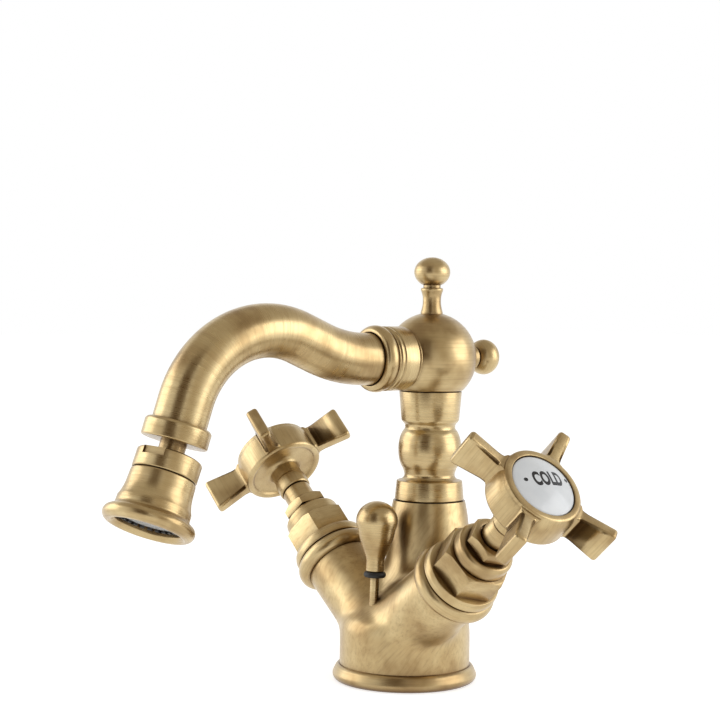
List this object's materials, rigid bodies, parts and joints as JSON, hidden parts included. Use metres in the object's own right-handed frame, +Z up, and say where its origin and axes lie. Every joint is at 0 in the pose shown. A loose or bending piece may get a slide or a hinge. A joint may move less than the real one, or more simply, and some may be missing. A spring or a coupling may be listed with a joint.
{
  "type": "two-handle bathroom mixer faucet",
  "caption": "Single-hole two-handle mixer in aged brass with a turned column, curved swivel spout, ball-jointed aerator jet, cross handles and a lift rod.",
  "frame": {"origin": "centre of the base's underside, on the deck", "axes": "+Z up, -Y forward along the spout, +X towards the cold handle"},
  "size_m": [0.1822, 0.162, 0.1499],
  "materials": {
    "aged_brass": "satin brushed, browned in the recesses",
    "rubber": "matte black",
    "nylon": "natural nylon",
    "ceramic_disc": "lapped ceramic",
    "porcelain": "white glazed porcelain with dark lettering",
    "aerator_plastic": "moulded black",
    "steel_mesh": "woven stainless mesh",
    "dark_steel": "blackened"
  },
  "bodies": {
    "root": {"base_gasket": "rubber", "base_ring": "aged_brass", "body": "aged_brass", "lift_rod_bush": "nylon", "column_washer": "nylon", "column_grub_screw": "dark_steel", "hot_arm_ring": "aged_brass", "hot_bonnet": "aged_brass", "hot_bonnet_oring": "rubber", "hot_seat_seal": "rubber", "hot_fixed_disc": "ceramic_disc", "hot_gland_nut": "aged_brass", "cold_arm_ring": "aged_brass", "cold_bonnet": "aged_brass", "cold_bonnet_oring": "rubber", "cold_seat_seal": "rubber", "cold_fixed_disc": "ceramic_disc", "cold_gland_nut": "aged_brass"},
    "spout": {"column": "aged_brass", "column_orings": "rubber", "hub": "aged_brass", "top_finial_stem": "aged_brass", "top_finial_ball": "aged_brass", "back_finial": "aged_brass", "union_nut": "aged_brass", "spout_seal": "rubber", "spout_tube": "aged_brass", "outlet_collar": "aged_brass", "ball_stud": "aged_brass"},
    "jet_seat": {"ball_seat": "nylon"},
    "jet_seal": {"ball_seal": "rubber"},
    "jet": {"swivel_nut": "aged_brass", "outlet_bell": "aged_brass", "aerator_gasket": "rubber", "aerator_insert": "aerator_plastic", "aerator_screen": "steel_mesh"},
    "hot_valve": {"hot_turning_disc": "ceramic_disc", "hot_spindle": "aged_brass", "hot_spindle_orings": "rubber", "hot_handle": "aged_brass", "hot_handle_screw": "aged_brass", "hot_index_button": "porcelain"},
    "cold_valve": {"cold_turning_disc": "ceramic_disc", "cold_spindle": "aged_brass", "cold_spindle_orings": "rubber", "cold_handle": "aged_brass", "cold_handle_screw": "aged_brass", "cold_index_button": "porcelain"},
    "lift": {"lift_rod": "aged_brass", "lift_knob": "aged_brass", "lift_knob_ring": "rubber"}
  },
  "joints": [
    {"name": "spout_swivel", "type": "hinge", "parent": "root", "child": "spout", "pos_m": [0, 0.0104, 0.0633], "axis": [0, 0, 1], "range_deg": [-45, 45]},
    {"name": "jet_tilt_fore", "type": "hinge", "parent": "spout", "child": "jet_seat", "pos_m": [0, -0.09987, 0.0792], "axis": [1, 0, 0], "range_deg": [-12, 12]},
    {"name": "jet_tilt_side", "type": "hinge", "parent": "jet_seat", "child": "jet_seal", "pos_m": [0, -0.09987, 0.0792], "axis": [0, 0.91, -0.4147], "range_deg": [-5.5, 18.5]},
    {"name": "jet_spin", "type": "hinge", "parent": "jet_seal", "child": "jet", "pos_m": [0, -0.09987, 0.0792], "axis": [-0.1132, 0.412, 0.9041], "continuous": true},
    {"name": "hot_turn", "type": "hinge", "parent": "root", "child": "hot_valve", "pos_m": [0, -0.0055, 0.0104], "axis": [-0.7559, 0, 0.6547], "range_deg": [0, 90]},
    {"name": "cold_turn", "type": "hinge", "parent": "root", "child": "cold_valve", "pos_m": [0, -0.0055, 0.0104], "axis": [0.7559, 0, 0.6547], "range_deg": [0, 90]},
    {"name": "lift_slide", "type": "slide", "parent": "root", "child": "lift", "axis": [0, 0.0349, 0.9994], "range_m": [-0.003, 0.012]}
  ]
}
